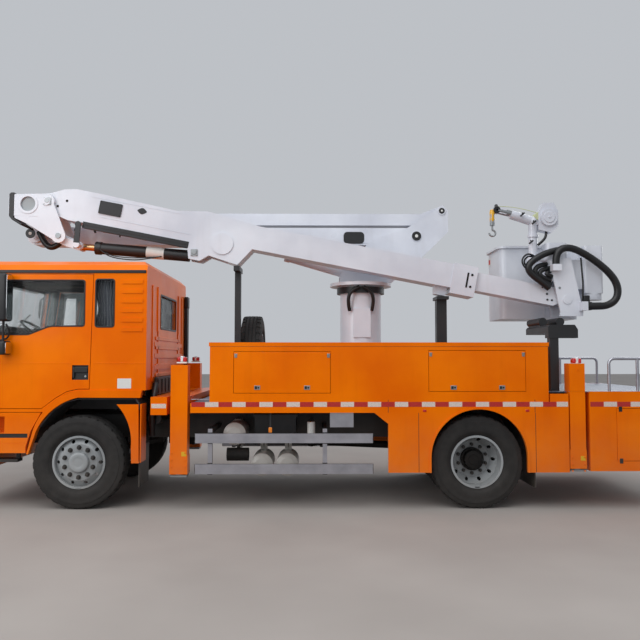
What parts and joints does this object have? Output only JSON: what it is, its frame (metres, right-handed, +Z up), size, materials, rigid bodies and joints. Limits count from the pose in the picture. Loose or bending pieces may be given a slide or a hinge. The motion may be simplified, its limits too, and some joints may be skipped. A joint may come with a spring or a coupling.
{
  "type": "cherry picker truck",
  "caption": "Two-axle truck with a service body, four outriggers and a swinging, articulated and telescopic boom that carries a work bucket and a small jib with a hook.",
  "frame": {"origin": "middle of the footprint, on the ground under the tyres", "axes": "+X towards the rear of the truck, +Y to its right side, +Z up"},
  "size_m": [8.34, 2.8, 3.7955],
  "materials": {
    "orange_paint": "gloss",
    "boom_paint": "gloss",
    "frame_paint": "satin",
    "deck_paint": "satin",
    "tank_paint": "satin",
    "rim_paint": "satin",
    "axle_iron": "rough",
    "rail_aluminium": "brushed",
    "chrome_rod": "polished",
    "hook_steel": "brushed",
    "black_plastic": "matte",
    "seat_fabric": "woven",
    "bucket_laminate": "gloss",
    "window_glass": "clear",
    "tyre_rubber": "matte",
    "hose_rubber": "matte"
  },
  "bodies": {
    "truck": {"chassis_frame": "frame_paint", "axles": "axle_iron", "engine_block": "axle_iron", "cab_shell": "orange_paint", "cab_glass": "window_glass", "cab_seats": "seat_fabric", "dashboard": "black_plastic", "front_bumper": "orange_paint", "mudguards": "black_plastic", "locker_body": "orange_paint", "deck_plate": "deck_paint", "lower_body": "orange_paint", "side_guards": "rail_aluminium", "tanks": "tank_paint", "spare_wheel": "tyre_rubber", "boom_rests": "frame_paint", "handrails": "rail_aluminium", "pedestal": "boom_paint", "outrigger_housings": "orange_paint"},
    "toolbox_door": {"toolbox_door": "orange_paint"},
    "locker_door_left_front": {"locker_door_left_front": "orange_paint"},
    "locker_door_left_rear": {"locker_door_left_rear": "orange_paint"},
    "locker_door_right": {"locker_door_right": "orange_paint"},
    "turret": {"turret": "boom_paint"},
    "lower_arm": {"lower_arm": "boom_paint"},
    "arm_link": {"arm_link": "boom_paint"},
    "elbow": {"elbow": "boom_paint"},
    "upper_boom": {"upper_boom": "boom_paint"},
    "boom_inner": {"boom_inner": "boom_paint"},
    "lift_barrel": {"lift_barrel": "boom_paint"},
    "lift_rod": {"lift_rod": "chrome_rod"},
    "luff_barrel": {"luff_barrel": "frame_paint"},
    "luff_rod": {"luff_rod": "chrome_rod"},
    "platform": {"platform_bracket": "boom_paint", "hose_loop": "hose_rubber"},
    "bucket": {"bucket_frame": "boom_paint", "bucket": "bucket_laminate"},
    "jib": {"jib": "boom_paint", "hook": "hook_steel"},
    "cab_door_left": {"cab_door_left": "orange_paint"},
    "knuckle_left": {"knuckle_left": "axle_iron"},
    "front_wheel_left": {"front_rim_left": "rim_paint", "front_tyre_left": "tyre_rubber"},
    "rear_wheel_left": {"rear_rims_left": "rim_paint", "rear_tyres_left": "tyre_rubber"},
    "beam_front_left": {"beam_front_left": "orange_paint"},
    "jack_front_left": {"jack_front_left": "chrome_rod"},
    "beam_rear_left": {"beam_rear_left": "orange_paint"},
    "jack_rear_left": {"jack_rear_left": "chrome_rod"},
    "cab_door_right": {"cab_door_right": "orange_paint"},
    "knuckle_right": {"knuckle_right": "axle_iron"},
    "front_wheel_right": {"front_rim_right": "rim_paint", "front_tyre_right": "tyre_rubber"},
    "rear_wheel_right": {"rear_rims_right": "rim_paint", "rear_tyres_right": "tyre_rubber"},
    "beam_front_right": {"beam_front_right": "orange_paint"},
    "jack_front_right": {"jack_front_right": "chrome_rod"},
    "beam_rear_right": {"beam_rear_right": "orange_paint"},
    "jack_rear_right": {"jack_rear_right": "chrome_rod"}
  },
  "joints": [
    {"name": "steer_left", "type": "hinge", "parent": "truck", "child": "knuckle_left", "pos_m": [-2.78, -0.9, 0.522], "axis": [0, 0, 1], "range_deg": [-38, 38]},
    {"name": "steer_right", "type": "hinge", "parent": "truck", "child": "knuckle_right", "pos_m": [-2.78, 0.9, 0.522], "axis": [0, 0, 1], "range_deg": [-38, 38]},
    {"name": "front_wheel_left", "type": "hinge", "parent": "knuckle_left", "child": "front_wheel_left", "pos_m": [-2.78, -1.051, 0.522], "axis": [0, 1, 0], "continuous": true},
    {"name": "rear_wheel_left", "type": "hinge", "parent": "truck", "child": "rear_wheel_left", "pos_m": [1.72, -0.89, 0.522], "axis": [0, 1, 0], "continuous": true},
    {"name": "cab_door_left", "type": "hinge", "parent": "truck", "child": "cab_door_left", "pos_m": [-3.95, -1.19, 1.9], "axis": [0, 0, -1], "range_deg": [0, 70]},
    {"name": "front_wheel_right", "type": "hinge", "parent": "knuckle_right", "child": "front_wheel_right", "pos_m": [-2.78, 1.051, 0.522], "axis": [0, 1, 0], "continuous": true},
    {"name": "rear_wheel_right", "type": "hinge", "parent": "truck", "child": "rear_wheel_right", "pos_m": [1.72, 0.89, 0.522], "axis": [0, 1, 0], "continuous": true},
    {"name": "cab_door_right", "type": "hinge", "parent": "truck", "child": "cab_door_right", "pos_m": [-3.95, 1.19, 1.9], "axis": [0, 0, 1], "range_deg": [0, 70]},
    {"name": "locker_door_left_front", "type": "hinge", "parent": "truck", "child": "locker_door_left_front", "pos_m": [-0.489, -1.242, 1.758], "axis": [-1, 0, 0], "range_deg": [0, 90]},
    {"name": "locker_door_left_rear", "type": "hinge", "parent": "truck", "child": "locker_door_left_rear", "pos_m": [1.717, -1.242, 1.771], "axis": [-1, 0, 0], "range_deg": [0, 90]},
    {"name": "locker_door_right", "type": "hinge", "parent": "truck", "child": "locker_door_right", "pos_m": [0.616, 1.242, 1.764], "axis": [1, 0, 0], "range_deg": [0, 90]},
    {"name": "toolbox_door", "type": "hinge", "parent": "truck", "child": "toolbox_door", "pos_m": [3.302, -1.242, 0.833], "axis": [0, 0, -1], "range_deg": [0, 90]},
    {"name": "beam_front_left", "type": "slide", "parent": "truck", "child": "beam_front_left", "axis": [0, -1, 0], "range_m": [0, 1]},
    {"name": "jack_front_left", "type": "slide", "parent": "beam_front_left", "child": "jack_front_left", "axis": [0, 0, -1], "range_m": [0, 0.45]},
    {"name": "beam_front_right", "type": "slide", "parent": "truck", "child": "beam_front_right", "axis": [0, 1, 0], "range_m": [0, 1]},
    {"name": "jack_front_right", "type": "slide", "parent": "beam_front_right", "child": "jack_front_right", "axis": [0, 0, -1], "range_m": [0, 0.45]},
    {"name": "beam_rear_left", "type": "slide", "parent": "truck", "child": "beam_rear_left", "axis": [0, -1, 0], "range_m": [0, 1]},
    {"name": "jack_rear_left", "type": "slide", "parent": "beam_rear_left", "child": "jack_rear_left", "axis": [0, 0, -1], "range_m": [0, 0.45]},
    {"name": "beam_rear_right", "type": "slide", "parent": "truck", "child": "beam_rear_right", "axis": [0, 1, 0], "range_m": [0, 1]},
    {"name": "jack_rear_right", "type": "slide", "parent": "beam_rear_right", "child": "jack_rear_right", "axis": [0, 0, -1], "range_m": [0, 0.45]},
    {"name": "turret_swing", "type": "hinge", "parent": "truck", "child": "turret", "pos_m": [0.487, 0, 2.625], "axis": [0, 0, 1], "range_deg": [-120, 120]},
    {"name": "arm_lift", "type": "hinge", "parent": "turret", "child": "lower_arm", "pos_m": [1.22, 0.1, 3.295], "axis": [0, 1, 0], "range_deg": [0, 75]},
    {"name": "arm_link_swing", "type": "hinge", "parent": "turret", "child": "arm_link", "pos_m": [1.555, 0.1, 3.63], "axis": [0, 1, 0], "range_deg": [0, 75]},
    {"name": "elbow_level", "type": "hinge", "parent": "lower_arm", "child": "elbow", "pos_m": [-3.77, 0.1, 3.295], "axis": [0, 1, 0], "range_deg": [-75, 0]},
    {"name": "boom_luff", "type": "hinge", "parent": "elbow", "child": "upper_boom", "pos_m": [-3.435, -0.38, 3.63], "axis": [0, -1, 0], "range_deg": [0, 92]},
    {"name": "telescope", "type": "slide", "parent": "upper_boom", "child": "boom_inner", "axis": [0.982, 0, -0.1891], "range_m": [0, 2.4]},
    {"name": "platform_level", "type": "hinge", "parent": "boom_inner", "child": "platform", "pos_m": [3.01232, -0.38, 2.41899], "axis": [0, -1, 0], "range_deg": [-92, 0]},
    {"name": "bucket_swing", "type": "hinge", "parent": "platform", "child": "bucket", "pos_m": [3.377, -0.38, 2.505], "axis": [0, 0, -1], "range_deg": [0, 90]},
    {"name": "jib_swing", "type": "hinge", "parent": "platform", "child": "jib", "pos_m": [2.656, -0.38, 2.99], "axis": [0, 0, 1], "range_deg": [-90, 90]},
    {"name": "lift_barrel_swing", "type": "hinge", "parent": "turret", "child": "lift_barrel", "pos_m": [0.604, 0.1, 2.745], "axis": [0, 1, 0], "range_deg": [0, 72.58]},
    {"name": "lift_rod_slide", "type": "slide", "parent": "lift_barrel", "child": "lift_rod", "axis": [-0.96, 0, 0.2801], "range_m": [0, 1.003]},
    {"name": "luff_barrel_swing", "type": "hinge", "parent": "upper_boom", "child": "luff_barrel", "pos_m": [-1.60814, -0.38, 2.97371], "axis": [0, -1, 0], "range_deg": [-2.46, 0]},
    {"name": "luff_rod_slide", "type": "slide", "parent": "luff_barrel", "child": "luff_rod", "axis": [-0.9964, 0, 0.0845], "range_m": [0, 0.9307]}
  ],
  "couplings": [
    {"joint": "steer_right", "follows": "steer_left", "ratio": 1},
    {"joint": "arm_link_swing", "follows": "arm_lift", "ratio": 1},
    {"joint": "elbow_level", "follows": "arm_lift", "ratio": -1},
    {"joint": "lift_barrel_swing", "follows": "arm_lift", "ratio": 0.96768},
    {"joint": "lift_rod_slide", "follows": "arm_lift", "m_per_rad": 0.7661},
    {"joint": "platform_level", "follows": "boom_luff", "ratio": -1},
    {"joint": "luff_barrel_swing", "follows": "boom_luff", "ratio": -0.0267},
    {"joint": "luff_rod_slide", "follows": "boom_luff", "m_per_rad": 0.57951}
  ]
}
